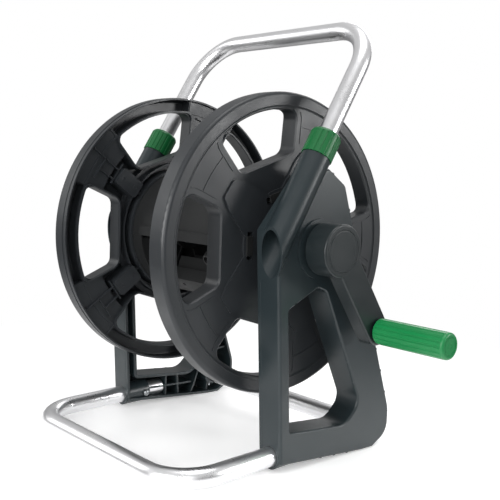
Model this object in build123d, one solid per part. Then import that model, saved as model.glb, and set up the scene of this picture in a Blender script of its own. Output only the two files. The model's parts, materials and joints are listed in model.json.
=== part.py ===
from build123d import *
from math import atan2, cos, degrees, hypot, radians, sin, tan
import os

# Free-standing garden hose reel.  Millimetres.
# +X along the axle towards the crank, +Y to the rear, +Z up from the floor.
# While it is drawn, Y = 0 is the axle; at the end everything is moved so that
# the origin is the middle of the footprint.

# ---- driving dimensions -----------------------------------------------------
TUBE_R = 11.0            # every aluminium tube is 22 mm across
TUBE_WALL = 1.5

AXLE_Z = 249.0           # height of the reel's axle
FLANGE_R = 176.0
FLANGE_FACE_X = 113.0    # outer faces of the two flanges
FLANGE_DEPTH = 22.0
FLANGE_PLATE = 3.0
RIM_WIDTH = 20.0         # radial width of the rim, from the openings outwards
RIM_STEP = 1.3           # how far the rim stands proud of the plate
OPENINGS = 5
OPENING_PHASE = 181.0    # degrees, centre of the first opening, 0 is +Y
OPENING_HALF = 23.0      # half the angle of one opening
OPENING_CHORD = 98.0     # distance of its flat inner side from the axle
STAR_HEIGHT = 2.4        # raised panel around the hub
HOOK_R = 57.0            # ring of snap hooks that hold the drum

DRUM_R = 78.0
DRUM_WALL = 2.5
HUB_R = 30.0

FRAME_IN_X = 133.0       # inner plane of a side frame
FRAME_OUT_X = 167.0      # outer face of a side frame
FRAME_WALL = 3.4
RIB_T = 2.4              # ribs inside the side frames and the flanges
POST_DEPTH = 16.0        # front post, along Y
FRONT_Y = -44.5          # front face at floor level
FRONT_LEAN = -0.075      # and its lean, dY per dZ
REAR_Y = 141.0
REAR_CORNER_R = 38.0

HANDLE_X = 155.0         # legs of the handle
HANDLE_TILT = 30.6       # degrees from the vertical, backwards
HANDLE_BEND_R = 60.0
SOCKET_R = 17.0
SOCKET_TOP_Z = 350.0
HANDLE_TOP_Z = 509.5     # centre line of the top bar
HANDLE_INSERT = 75.0     # length of leg inside its socket
LEG_BORE_R = 12.2        # guide for a leg at the top of its socket
MOUTH_BORE_R = 15.0      # wider bore below it, open at the front

COLLAR_R = 18.2
COLLAR_LENGTH = 32.0
NECK_R = 14.5
NECK_LENGTH = 20.0

BASE_X = 150.0           # arms of the base tube
BASE_FRONT_Y = -174.0    # centre line of the front bar
BASE_BEND_R = 52.0
BASE_END_Y = 17.0
ARM_RISE = 2.2           # degrees, the arms climb towards the side frames

BOSS_WALL = 3.6          # wall of the sockets that hold the tubes
SCREW_Y = -15.0          # screw through the side frame into the arm
CROSS_Y = 103.0          # rear cross tube
CROSS_Z = 27.5

CRANK_R = 115.0          # axle to grip
CRANK_ANGLE = -54.5      # degrees from +Y, resting position
CRANK_HUB_R = 29.5
CRANK_BACK_X = 174.0
CRANK_FACE_X = 203.5
CRANK_WIDTH = 35.0
CRANK_ARM_T = 19.0
CAP_R = 23.0
GRIP_R = 15.1
GRIP_START_X = 205.0
GRIP_END_X = 300.5
GRIP_BAND = 4.0          # rounded, unfluted length at each end

BUSH_R = 17.0            # plain bearing bushes of the axle
BUSH_BORE = 14.05
SHAFT_R = 14.0
INLET_TURN = 160.0       # degrees from the front: the inlet points to the rear and a little down
SPINDLE_R = 5.0

PARTS = {}

# ---- derived places ---------------------------------------------------------
TILT = radians(HANDLE_TILT)
LEG_DIR = Vector(0, sin(TILT), cos(TILT))
LEG_TOP_Y = 0.3          # leg axis at the socket's top edge
CRANK_DIR = Vector(0, cos(radians(CRANK_ANGLE)), sin(radians(CRANK_ANGLE)))
GRIP_Y = CRANK_R * CRANK_DIR.Y
GRIP_Z = AXLE_Z + CRANK_R * CRANK_DIR.Z
ARM_Z = TUBE_R + (FRONT_Y - BASE_FRONT_Y) * tan(radians(ARM_RISE))


def front_y(z):
    """Y of the front face at height z."""
    return FRONT_Y + FRONT_LEAN * z


def leg_point(x, along):
    """Point on a leg's axis, measured along it from the top of the socket."""
    return Vector(x, LEG_TOP_Y, SOCKET_TOP_Z) + LEG_DIR * along


def leg_plane(x, along):
    """Plane square to a leg, facing up the leg."""
    return Plane(origin=leg_point(x, along), x_dir=(1, 0, 0), z_dir=LEG_DIR)


def yz(x):
    """Plane at x whose drawing axes are Y and Z."""
    return Plane.YZ.offset(x)


def slab(sketch, x_from, x_to):
    """Extrude a YZ drawing between two X planes."""
    return extrude(yz(x_from) * sketch, amount=x_to - x_from)


def x_cylinder(radius, x_from, x_to, y=0.0, z=AXLE_Z):
    """Cylinder along X."""
    return slab(Pos(y, z) * Circle(radius), x_from, x_to)


def x_ring(outer, inner, x_from, x_to, y=0.0, z=AXLE_Z):
    """Ring along X."""
    return slab(Pos(y, z) * (Circle(outer) - Circle(inner)), x_from, x_to)


def polygon(points, radius=0.0):
    """Closed outline through points, all corners rounded alike."""
    face = make_face(Polyline(*points, close=True))
    return fillet(face.vertices(), radius) if radius else face


def sector(radius, start, end):
    """Pie slice between two angles."""
    middle = radians((start + end) / 2)
    reach = radius * 1.6
    return make_face(Polyline(
        (0, 0), (reach * cos(radians(start)), reach * sin(radians(start))),
        (reach * cos(middle), reach * sin(middle)),
        (reach * cos(radians(end)), reach * sin(radians(end))), close=True))


def turned(part, angle):
    """Turn a part about the axle."""
    return Pos(0, 0, AXLE_Z) * Rot(angle, 0, 0) * Pos(0, 0, -AXLE_Z) * part


def mirrored(part):
    """The same part on the other side."""
    return mirror(part, about=Plane.YZ)


def add(name, part):
    """Register a finished piece."""
    part.label = name
    PARTS[name] = part


# ---- side frames ------------------------------------------------------------
def round_corners(face, corners):
    """Round single corners of an outline, each given as y, z and its radius."""
    for y, z, radius in corners:
        nearest = min(face.vertices(), key=lambda v: hypot(v.X - y, v.Y - z))
        face = fillet(nearest, radius)
    return face


def frame_outline():
    """Outer outline of a side frame, without the handle socket."""
    face = polygon([
        (front_y(9), 9), (94, 0), (114, 0), (REAR_Y, 14), (REAR_Y, 45),
        (50, 292), (40, 320), (12, 338), (-8, 338), (front_y(268), 268)])
    return round_corners(face, [
        (REAR_Y, 14, REAR_CORNER_R * 0.6), (REAR_Y, 45, REAR_CORNER_R), (50, 292, 18), (40, 320, 10),
        (front_y(9), 9, 5)])


def window_outline():
    """The large opening in a side frame."""
    front = POST_DEPTH - 0.6
    low = front_y(42) + front
    high = front_y(181) + front
    face = polygon([(low, 44), (60, 37.5), (84, 60), (16, 199), (2, 204), (high, 182)])
    return round_corners(face, [
        (60, 37.5, 24), (84, 60, 17), (16, 199, 8), (2, 204, 9), (low, 44, 3), (high, 182, 3)])


def rib(start, end):
    """Straight rib between two points of a YZ drawing."""
    dy = end[0] - start[0]
    dz = end[1] - start[1]
    middle = Pos(start[0] + dy / 2, start[1] + dz / 2)
    return middle * Rot(0, 0, degrees(atan2(dz, dy))) * Rectangle(hypot(dy, dz), RIB_T)


def frame_ribs():
    """Ribs inside a side frame: rungs up the rear leg, uprights in the foot bar, stays in the web."""
    ribs = rib((-38, 22), (66, 20)) + rib((21, 3), (21, 44)) + rib((44, 3), (40, 42))
    ribs += rib((66, 0), (90, 64)) + rib((96, 4), (104, 60))
    rungs = 6
    for i in range(rungs):
        share = i / (rungs - 1)
        ribs += rib((84 - 64 * share, 60 + 130 * share), (134 - 54 * share, 66 + 140 * share))
    ribs += rib((20, 262), (58, 300)) + rib((-5, 275), (20, 336)) + rib((-40, 205), (-20, 232))
    return ribs


def side_frame():
    """Right side frame: an outer plate with deep edge walls and ribs inside."""
    outline = frame_outline()
    window = window_outline()
    body = slab(outline, FRAME_IN_X, FRAME_OUT_X)
    body = fillet(body.faces().sort_by(Axis.X)[-1].edges(), 3.5)
    body -= slab(window, FRAME_IN_X - 5, FRAME_OUT_X + 5)
    loops = body.faces().sort_by(Axis.X)[-1].inner_wires()
    body = fillet(loops[0].edges(), 2.9)
    cavity = offset(outline, -FRAME_WALL) - offset(window, FRAME_WALL + 1)
    body -= slab(cavity, FRAME_IN_X - 5, FRAME_OUT_X - FRAME_WALL)
    body += slab((frame_ribs() & outline) - window, FRAME_IN_X + 5, FRAME_OUT_X - 1)

    # bearing boss
    body += x_cylinder(HUB_R + 4, FRAME_IN_X - 12, FRAME_OUT_X + 2.5)
    # sockets: handle leg, base tube arm, cross tube
    body += socket_solid()
    arm_dir = Vector(0, cos(radians(ARM_RISE)), sin(radians(ARM_RISE)))
    arm_plane = Plane(origin=(BASE_X, FRONT_Y - 1.5, ARM_Z), x_dir=(1, 0, 0), z_dir=arm_dir)
    body += extrude(arm_plane * Circle(TUBE_R + BOSS_WALL), amount=38)
    body += x_cylinder(TUBE_R + 3.2, FRAME_IN_X, FRAME_OUT_X - 1, CROSS_Y, CROSS_Z)

    # bores
    body -= x_cylinder(BUSH_R + 0.05, FRAME_IN_X - 20, FRAME_OUT_X + 10)
    body -= extrude(leg_plane(HANDLE_X, -90) * Circle(LEG_BORE_R), amount=140)
    body -= extrude(leg_plane(HANDLE_X, -190) * Circle(MOUTH_BORE_R), amount=106)
    far_plane = Plane(origin=(BASE_X, FRONT_Y - 12, ARM_Z - 0.45), x_dir=(1, 0, 0), z_dir=arm_dir)
    body -= extrude(far_plane * Circle(TUBE_R + 0.3), amount=BASE_END_Y - FRONT_Y + 14)
    body -= x_cylinder(TUBE_R + 0.1, FRAME_IN_X - 10, FRAME_OUT_X - FRAME_WALL - 4, CROSS_Y, CROSS_Z)
    # the screw holes into the two tubes
    body -= x_cylinder(2.0, FRAME_IN_X - 4, BASE_X, SCREW_Y, ARM_Z + 0.8)
    body -= Pos(FRAME_IN_X + 8, CROSS_Y, 0) * extrude(Circle(2.0), amount=CROSS_Z)
    # drain notch under the socket
    notch = polygon([(-35, 190), (-13, 186), (-31, 177)], 1.2)
    body -= slab(notch, FRAME_OUT_X - FRAME_WALL - 2, FRAME_OUT_X + 2)
    return body


def socket_solid():
    """The inclined tube that takes a handle leg, cut off level with the front face."""
    tube = extrude(leg_plane(HANDLE_X, -175) * Circle(SOCKET_R), amount=175)
    neck = extrude(leg_plane(HANDLE_X, -1) * Circle(NECK_R), amount=NECK_LENGTH + 1)
    corners = [(front_y(180), 180), (front_y(400), 400), (200, 400), (200, 180)]
    return (tube & slab(polygon(corners), 100, 200)) + neck


right_frame = side_frame()
add("right_side_frame", right_frame)
add("left_side_frame", mirrored(right_frame))


# ---- tubes ------------------------------------------------------------------
def pipe(path, radius, wall):
    """Hollow tube along a path."""
    start = Plane(origin=path @ 0, z_dir=path % 0)
    outer = sweep(start * Circle(radius), path=path)
    inner = sweep(start * Circle(radius - wall), path=path)
    return outer - inner


def base_tube():
    """U of tube on the floor; its arms climb slightly into the side frames."""
    climb = tan(radians(ARM_RISE))
    end_z = TUBE_R + (BASE_END_Y - BASE_FRONT_Y) * climb
    wire = FilletPolyline(
        (-BASE_X, BASE_END_Y, end_z), (-BASE_X, BASE_FRONT_Y, TUBE_R),
        (BASE_X, BASE_FRONT_Y, TUBE_R), (BASE_X, BASE_END_Y, end_z), radius=BASE_BEND_R)
    tube = pipe(wire, TUBE_R, TUBE_WALL)
    hole = x_cylinder(2.0, BASE_X - TUBE_R - 2, BASE_X, SCREW_Y, ARM_Z + 0.8)
    return tube - hole - mirrored(hole)


def handle_tube():
    """Inverted U of tube in the tilted plane of the legs."""
    top = (HANDLE_TOP_Z - SOCKET_TOP_Z) / cos(TILT)
    wire = FilletPolyline(
        leg_point(-HANDLE_X, -HANDLE_INSERT), leg_point(-HANDLE_X, top),
        leg_point(HANDLE_X, top), leg_point(HANDLE_X, -HANDLE_INSERT), radius=HANDLE_BEND_R)
    return pipe(wire, TUBE_R, TUBE_WALL)


add("base_tube", base_tube())
add("handle_tube", handle_tube())
CROSS_END = FRAME_OUT_X - FRAME_WALL - 4.2
add("cross_tube", x_ring(TUBE_R, TUBE_R - TUBE_WALL, -CROSS_END, CROSS_END, CROSS_Y, CROSS_Z))


def both_sides(build):
    """One node holding a right piece and its mirror image."""
    right = build()
    return Compound([right, mirrored(right)])


def tube_screw():
    """Screw through the side frame into an arm of the base tube."""
    z = ARM_Z + 0.8
    seat_x = BASE_X - TUBE_R - BOSS_WALL
    shank = x_cylinder(1.9, seat_x - 1, BASE_X - 4, SCREW_Y, z)
    head = x_cylinder(4.2, seat_x - 2.4, seat_x - 0.02, SCREW_Y, z)
    return head + shank


def cross_screw():
    """Screw from below into the end of the cross tube."""
    shank = Pos(FRAME_IN_X + 8, CROSS_Y, 9) * extrude(Circle(1.9), amount=CROSS_Z - TUBE_R - 9.1)
    return shank


add("base_tube_screws", both_sides(tube_screw))
add("cross_tube_screws", both_sides(cross_screw))


def end_plug():
    """Sliding plug on the lower end of a handle leg."""
    lower = extrude(leg_plane(HANDLE_X, -HANDLE_INSERT - 7) * Circle(11.75), amount=7)
    upper = extrude(leg_plane(HANDLE_X, -HANDLE_INSERT - 0.5) * Circle(9.4), amount=16)
    return lower + upper


def collet():
    """Clamping ring between the neck and the leg, pressed in by the collar."""
    ring = Circle(NECK_R - 0.9) - Circle(TUBE_R + 0.4)
    slit = Pos(0, 12.5) * Rectangle(1.6, 6)
    return extrude(leg_plane(HANDLE_X, NECK_LENGTH + 0.2) * (ring - slit), amount=6.5)


def collar():
    """Twist collar over the neck of a socket, with shallow flutes for the fingers."""
    profile = Circle(COLLAR_R) - Circle(NECK_R + 0.4)
    flutes = 18
    for i in range(flutes):
        profile -= Rot(0, 0, i * 360 / flutes) * Pos(COLLAR_R + 0.55, 0) * Circle(1.35)
    skirt = extrude(leg_plane(HANDLE_X, 0.4) * profile, amount=COLLAR_LENGTH - 4.4)
    shoulder = loft([
        leg_plane(HANDLE_X, COLLAR_LENGTH - 4) * Circle(COLLAR_R - 0.15),
        leg_plane(HANDLE_X, COLLAR_LENGTH - 2) * Circle(COLLAR_R - 0.9),
        leg_plane(HANDLE_X, COLLAR_LENGTH - 0.6) * Circle(COLLAR_R - 2.2),
        leg_plane(HANDLE_X, COLLAR_LENGTH) * Circle(COLLAR_R - 3.6),
    ], ruled=True)
    body = skirt + shoulder
    body -= extrude(leg_plane(HANDLE_X, COLLAR_LENGTH - 9) * Circle(NECK_R + 0.4), amount=6)
    return body - extrude(leg_plane(HANDLE_X, COLLAR_LENGTH - 6) * Circle(11.5), amount=12)


add("handle_end_plugs", both_sides(end_plug))
add("clamp_collets", both_sides(collet))
right_collar = collar()
add("right_collar", right_collar)
add("left_collar", mirrored(right_collar))


# ---- flanges ----------------------------------------------------------------
def opening_outline():
    """One flange opening, drawn about the axle with its middle along +Y."""
    outer_r = FLANGE_R - RIM_WIDTH
    half = radians(OPENING_HALF)
    wedge = make_face(Polyline(
        (OPENING_CHORD, -OPENING_CHORD * tan(half)), (220, -220 * tan(half)),
        (220, 220 * tan(half)), (OPENING_CHORD, OPENING_CHORD * tan(half)), close=True))
    face = wedge & Circle(outer_r)
    return fillet(face.vertices(), 11)


def star_panel():
    """Raised five-lobed panel around the hub."""
    shape = Circle(66)
    for i in range(OPENINGS):
        angle = OPENING_PHASE + 36 + i * 72
        lobe = polygon([(40, -34), (96, -19), (110, -12), (110, 12), (96, 19), (40, 34)], 5)
        shape += Rot(0, 0, angle) * lobe
    return shape


def rim_band():
    """The flange's rounded rim, standing a little proud of the plate, turned about the axle."""
    face_x = FLANGE_FACE_X
    inner_r = FLANGE_R - RIM_WIDTH + 2.5
    profile = make_face(Polyline(
        (face_x - FLANGE_DEPTH + 3, FLANGE_R), (face_x - FLANGE_DEPTH + 3, FLANGE_R - 3),
        (face_x - 6, FLANGE_R - 3), (face_x - 4.4, FLANGE_R - 6), (face_x - 4.4, inner_r),
        (face_x - RIM_STEP, inner_r), (face_x, inner_r + 3), (face_x, FLANGE_R), close=True))
    corner = max(profile.vertices(), key=lambda v: v.X + v.Y)
    return Pos(0, 0, AXLE_Z) * revolve(Plane.XZ * fillet(corner, 4.6), axis=Axis.X)


def all_openings(grow):
    """The five openings, all grown by the same amount."""
    single = opening_outline()
    single = offset(single, grow) if grow else single
    shape = Sketch()
    for i in range(OPENINGS):
        shape += Rot(0, 0, OPENING_PHASE + i * 72) * single
    return shape


def flange_walls(walls):
    """Walls that stand the full depth of the flange: round the openings, the drum and the rim."""
    rim_r = FLANGE_R - RIM_WIDTH
    shape = (Circle(rim_r + 3) - Circle(rim_r)) + (Circle(90.5) - Circle(88)) + (Circle(34) - Circle(30))
    shape += walls & Circle(rim_r + 3)
    for i in range(OPENINGS):
        spoke = Rot(0, 0, OPENING_PHASE + 36 + i * 72)
        for side in (-1, 1):
            shape += spoke * Rot(0, 0, side * 13.4) * Pos(rim_r + 9, 0) * Rectangle(17, RIB_T)
        shape += spoke * Pos(60, 0) * Rectangle(56, RIB_T)
    return shape


def spoke_blocks():
    """Rounded block on each spoke, which stiffens its root."""
    shape = Sketch()
    for i in range(OPENINGS):
        block = Pos(106, 0) * Rectangle(36, 23)
        shape += Rot(0, 0, OPENING_PHASE + 36 + i * 72) * fillet(block.vertices(), 4)
    return shape


def spoke_webs():
    """Flat web that closes the outer end of each spoke on the drum side."""
    shape = Sketch()
    for i in range(OPENINGS):
        middle = OPENING_PHASE + 36 + i * 72
        shape += sector(FLANGE_R, middle - 14.2, middle + 14.2)
    return shape & (Circle(FLANGE_R - 2) - Circle(132))


def hook_slots():
    """Slots around the hub that take the drum's snap hooks."""
    shape = Sketch()
    for i in range(OPENINGS):
        slot = Pos(HOOK_R, 0) * Rectangle(8, 32)
        shape += Rot(0, 0, OPENING_PHASE + i * 72) * fillet(slot.vertices(), 2)
    return shape


def flange():
    """Right flange, smooth outside and ribbed towards the drum."""
    plate_x = FLANGE_FACE_X - RIM_STEP
    back_x = plate_x - FLANGE_PLATE
    centre = Pos(0, AXLE_Z)
    cuts = all_openings(0)
    holes = Circle(17) + hook_slots()

    skin = Circle(FLANGE_R - RIM_WIDTH + 3) - cuts - holes
    plate = slab(centre * skin, back_x, plate_x)
    opening_edges = [e for e in plate.faces().sort_by(Axis.X)[-1].edges()
                     if 90 < (e.center() - Vector(plate_x, 0, AXLE_Z)).length < FLANGE_R - RIM_WIDTH + 2]
    plate = chamfer(opening_edges, 1.6)
    inner_x = FLANGE_FACE_X - FLANGE_DEPTH
    walls = all_openings(2.8)
    depth = slab(centre * (flange_walls(walls) - cuts), inner_x, back_x)
    depth += slab(centre * (Circle(81.4) - Circle(DRUM_R + 0.4)), inner_x - 4, back_x)
    depth += slab(centre * (spoke_blocks() - cuts), inner_x - 6, back_x)
    depth += slab(centre * (spoke_webs() - cuts), inner_x + 0.8, inner_x + 3.4)
    depth += slab(centre * ((Circle(97) - Circle(89)) - cuts), inner_x + 9, inner_x + 11.5)
    star = slab(centre * (star_panel() - holes - all_openings(2)), plate_x, plate_x + STAR_HEIGHT)
    border = (all_openings(8.6) - all_openings(7.6)) - Circle(118) - star_panel()
    border &= Circle(FLANGE_R - RIM_WIDTH - 1)
    border += (Circle(138.8) - Circle(138)) - all_openings(9)
    seams = slab(centre * border, plate_x - 0.5, plate_x + 0.7)
    return rim_band() + plate + depth + star + seams


right_flange = flange()
add("right_flange", right_flange)
add("left_flange", mirrored(right_flange))

# ---- drum -------------------------------------------------------------------
DRUM_END_X = FLANGE_FACE_X - FLANGE_DEPTH - 0.2
RECESS_HALF = 68.5       # half the length of the recess for the hose coupling
RECESS_FROM = 185.0      # degrees
RECESS_TO = 224.0
SEAM_Z = AXLE_Z - 4      # the two half shells meet here
NIPPLE_X = 38.0          # where the hose nipple stands in the recess


def drum_shells():
    """Upper and lower half of the winding drum; the lower one has the recess."""
    centre = Pos(0, AXLE_Z)
    shell = x_ring(DRUM_R, DRUM_R - DRUM_WALL, -DRUM_END_X, DRUM_END_X)
    above = Pos(0, 0, SEAM_Z + 100.15) * Box(400, 400, 200)
    below = Pos(0, 0, SEAM_Z - 100.15) * Box(400, 400, 200)
    upper = shell & above
    upper += Pos(0, -DRUM_R + 0.5, SEAM_Z + 6.15) * Box(2 * RECESS_HALF, 7, 12)
    upper += Pos(0, DRUM_R - 3.4, SEAM_Z + 3.15) * Box(2 * RECESS_HALF, 2, 6)
    lower = shell & below
    lower -= slab(centre * sector(DRUM_R, RECESS_FROM - 8, RECESS_TO), -RECESS_HALF, RECESS_HALF)
    lip = Rot(0, 0, RECESS_TO) * Pos(DRUM_R - 9, 1.4) * Rectangle(17, 2.8)
    lower += slab(centre * lip, -RECESS_HALF, RECESS_HALF)
    cheek = sector(DRUM_R, RECESS_FROM + 1, RECESS_TO - 1) & (Circle(DRUM_R - DRUM_WALL + 0.5) - Circle(40))
    for x in (-RECESS_HALF - 2.5, RECESS_HALF + 0.5):
        lower += slab(centre * cheek, x, x + 2)
    for angle in (250, 290, 330):
        stay = Rot(0, 0, angle) * Pos(56, 0) * Rectangle(42, RIB_T)
        lower += slab(centre * stay, -RECESS_HALF, RECESS_HALF)
    drain = Plane(origin=(-14, 0, AXLE_Z), z_dir=(0, cos(radians(232)), sin(radians(232))))
    lower -= extrude(drain.offset(DRUM_R - 8) * Circle(2.5), amount=16)
    return upper, lower


upper_shell, lower_shell = drum_shells()
add("drum_upper_shell", upper_shell)
add("drum_lower_shell", lower_shell)


def bulkhead():
    """Disc that closes one end of the drum: the shaft's seat and five snap hooks."""
    centre = Pos(0, AXLE_Z)
    inside = DRUM_R - DRUM_WALL - 0.2
    body = slab(centre * (Circle(inside) - Circle(17)), 74, 77)
    body += x_ring(24, 17, 68, 90)
    body += x_ring(inside, inside - 3, 76, 88)
    grip_x = FLANGE_FACE_X - RIM_STEP
    for i in range(8):
        stay = Rot(0, 0, 22.5 + i * 45) * Pos(47, 0) * Rectangle(50, RIB_T)
        body += slab(centre * stay, 71, 75)
    for i in range(OPENINGS):
        turn = Rot(0, 0, OPENING_PHASE + i * 72)
        stem = turn * Pos(HOOK_R - 1.4, 0) * Rectangle(3, 22)
        barb = turn * Pos(HOOK_R + 1.4, 0) * Rectangle(8.6, 22)
        body += slab(centre * stem, 76, grip_x + STAR_HEIGHT + 2.2)
        body += slab(centre * barb, grip_x + STAR_HEIGHT + 0.1, grip_x + STAR_HEIGHT + 2.4)
    return body


right_bulkhead = bulkhead()
add("right_drum_bulkhead", right_bulkhead)
add("left_drum_bulkhead", mirrored(right_bulkhead))


# ---- axle, bearings and water way -------------------------------------------
def bearing_bush():
    """Flanged plain bearing in a side frame."""
    sleeve = x_ring(BUSH_R, BUSH_BORE, FRAME_IN_X - 14, FRAME_OUT_X + 3.5)
    collar_ring = x_ring(22, BUSH_BORE, FRAME_IN_X - 14.5, FRAME_IN_X - 12.1)
    return sleeve + collar_ring


right_bush = bearing_bush()
add("right_bearing_bush", right_bush)
add("left_bearing_bush", mirrored(right_bush))


DISC_X = FLANGE_FACE_X - RIM_STEP + STAR_HEIGHT + 0.1


def crank_shaft():
    """Solid stub axle: seated in the drum, hexagonal where the crank sits."""
    core = x_cylinder(SHAFT_R, FLANGE_FACE_X - 10, CRANK_BACK_X - 1)
    seat = x_cylinder(16.9, 66, FLANGE_FACE_X - 9)
    disc = x_ring(28, 12, DISC_X, DISC_X + 2.4)
    key = slab(Pos(0, AXLE_Z) * RegularPolygon(11.0, 6), CRANK_BACK_X - 1.5, 188)
    hole = x_cylinder(3.0, 160, 190)
    return core + seat + disc + key - hole


def water_axle():
    """Hollow stub axle that brings the water in."""
    core = x_cylinder(SHAFT_R, FLANGE_FACE_X - 10, FRAME_OUT_X + 9)
    seat = x_cylinder(16.9, 66, FLANGE_FACE_X - 9)
    disc = x_ring(28, 12, DISC_X, DISC_X + 2.4)
    nose = x_cylinder(9.5, FRAME_OUT_X + 8, FRAME_OUT_X + 26)
    body = core + seat + disc + nose
    body -= x_cylinder(6.0, 60, FRAME_OUT_X + 30)
    for x in (FRAME_OUT_X + 13, FRAME_OUT_X + 20):
        body -= x_ring(10, 8.1, x, x + 2.6)
    body -= x_ring(15, 12.2, FRAME_OUT_X + 5.2, FRAME_OUT_X + 6.8)
    return mirrored(body)


add("crank_shaft", crank_shaft())
add("water_axle", water_axle())


def retaining_ring():
    """Spring ring that keeps the water axle in its bearing."""
    x = FRAME_OUT_X + 5.3
    ring = slab(Pos(0, AXLE_Z) * (Circle(18) - Circle(12.3) - Pos(16, 0) * Rectangle(12, 9)), x, x + 1.4)
    return mirrored(ring)


def o_rings():
    """Two seals on the nose of the water axle."""
    rings = []
    for x in (FRAME_OUT_X + 13, FRAME_OUT_X + 20):
        rings.append(mirrored(x_ring(9.9, 8.2, x + 0.2, x + 2.4)))
    return Compound(rings)


def inlet_elbow():
    """Swivelling elbow over the nose of the water axle."""
    x0 = FRAME_OUT_X + 10
    body = x_cylinder(14.5, x0, x0 + 21)
    body += Pos(x0 + 12, 0, AXLE_Z) * (Rot(90, 0, 0) * extrude(Circle(10.5), amount=32))
    body += Pos(x0 + 12, -22, AXLE_Z) * (Rot(90, 0, 0) * extrude(Circle(12.5), amount=4))
    body -= x_cylinder(10.0, x0 - 5, x0 + 17)
    body -= Pos(x0 + 12, 0, AXLE_Z) * (Rot(90, 0, 0) * extrude(Circle(6.0), amount=40))
    return turned(mirrored(body), INLET_TURN)


def inlet_nut():
    """Ring nut at the end of the elbow."""
    nut = RegularPolygon(16, 12)
    ring = Pos(FRAME_OUT_X + 22, -26.5, AXLE_Z) * (
        Rot(90, 0, 0) * extrude(nut - Circle(10.6), amount=9))
    return turned(mirrored(ring), INLET_TURN)


def tap_connector():
    """Plug nipple that a garden hose's click coupling snaps on to."""
    x = FRAME_OUT_X + 22
    profile = make_face(Polyline(
        (6.2, 0), (9.8, 0), (9.8, 8), (11.8, 9), (11.8, 12), (8.8, 14), (8.8, 26),
        (7.8, 28), (6.2, 28), close=True))
    body = revolve(Plane.XY * profile, axis=Axis.Y)
    return turned(mirrored(Pos(x, -32.2, AXLE_Z) * (Rot(180, 0, 0) * body)), INLET_TURN)


add("retaining_ring", retaining_ring())
add("inlet_seals", o_rings())
add("inlet_elbow", inlet_elbow())
add("inlet_nut", inlet_nut())
add("tap_connector", tap_connector())


def water_pipe():
    """Pipe inside the drum, from the water axle to the coupling recess."""
    angle = radians((RECESS_FROM + RECESS_TO) / 2)
    out = Vector(0, cos(angle), sin(angle))
    centre = Vector(0, 0, AXLE_Z)
    wire = FilletPolyline(
        Vector(-65.8, 0, AXLE_Z), Vector(NIPPLE_X, 0, AXLE_Z),
        centre + Vector(NIPPLE_X, 0, 0) + out * 38, radius=22)
    return pipe(wire, 8.0, 2.0)


def hose_nipple():
    """Barbed nipple and nut in the recess, where the stored hose starts."""
    angle = radians((RECESS_FROM + RECESS_TO) / 2)
    out = Vector(0, cos(angle), sin(angle))
    profile = make_face(Polyline(
        (4.6, 0), (14, 0), (14, 9), (8.4, 9), (8.4, 12), (9.4, 13), (7.6, 17), (9.4, 18),
        (7.6, 22), (6.4, 24), (4.6, 24), close=True))
    body = revolve(Plane.XZ * profile, axis=Axis.Z)
    base = Plane(origin=Vector(NIPPLE_X, 0, AXLE_Z) + out * 38.2, x_dir=(1, 0, 0), z_dir=out)
    return base * body


add("water_pipe", water_pipe())
add("hose_nipple", hose_nipple())


# ---- crank ------------------------------------------------------------------
def crank_arm():
    """Hub cup, tapering arm and the boss that holds the grip's spindle."""
    hub = x_cylinder(CRANK_HUB_R, CRANK_BACK_X, CRANK_FACE_X)
    edge = hub.edges().filter_by(GeomType.CIRCLE).sort_by(Axis.X)[-1]
    hub = fillet(edge, 2.0)
    arm = Pos(CRANK_R / 2, 0) * Rectangle(CRANK_R, CRANK_WIDTH)
    arm += Pos(CRANK_R, 0) * Circle(CRANK_WIDTH / 2)
    arm = Pos(0, AXLE_Z) * Rot(0, 0, CRANK_ANGLE) * arm
    arm_solid = slab(arm, CRANK_FACE_X - CRANK_ARM_T, CRANK_FACE_X)
    arm_solid = fillet(arm_solid.faces().sort_by(Axis.X)[-1].edges(), 2.5)
    body = hub + arm_solid
    body -= x_cylinder(CAP_R + 0.1, CRANK_FACE_X - 3.5, CRANK_FACE_X + 1)
    body -= x_cylinder(14, CRANK_FACE_X - 12, CRANK_FACE_X)
    body -= x_cylinder(3.2, CRANK_BACK_X - 1, CRANK_FACE_X)
    body -= slab(Pos(0, AXLE_Z) * RegularPolygon(11.06, 6), CRANK_BACK_X - 1, 188.1)
    body -= x_cylinder(SPINDLE_R, 160, 230, GRIP_Y, GRIP_Z)
    return body


def crank_cap():
    """Slightly domed cover disc in the middle of the crank."""
    disc = x_cylinder(CAP_R, CRANK_FACE_X - 3.4, CRANK_FACE_X + 0.6)
    edge = disc.edges().filter_by(GeomType.CIRCLE).sort_by(Axis.X)[-1]
    disc = fillet(edge, 0.8)
    return disc + x_ring(13.8, 12, CRANK_FACE_X - 10, CRANK_FACE_X - 3)


def crank_screw():
    """Screw that holds the crank on its shaft."""
    return x_cylinder(2.9, 164, 192) + x_cylinder(5.5, CRANK_FACE_X - 11.9, CRANK_FACE_X - 8)


def grip_spindle():
    """Steel pin riveted into the arm, with a head inside the grip."""
    pin = x_cylinder(SPINDLE_R - 0.02, CRANK_FACE_X - CRANK_ARM_T + 2, GRIP_END_X - 12, GRIP_Y, GRIP_Z)
    return pin + x_cylinder(8, GRIP_END_X - 12.5, GRIP_END_X - 9.5, GRIP_Y, GRIP_Z)


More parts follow.
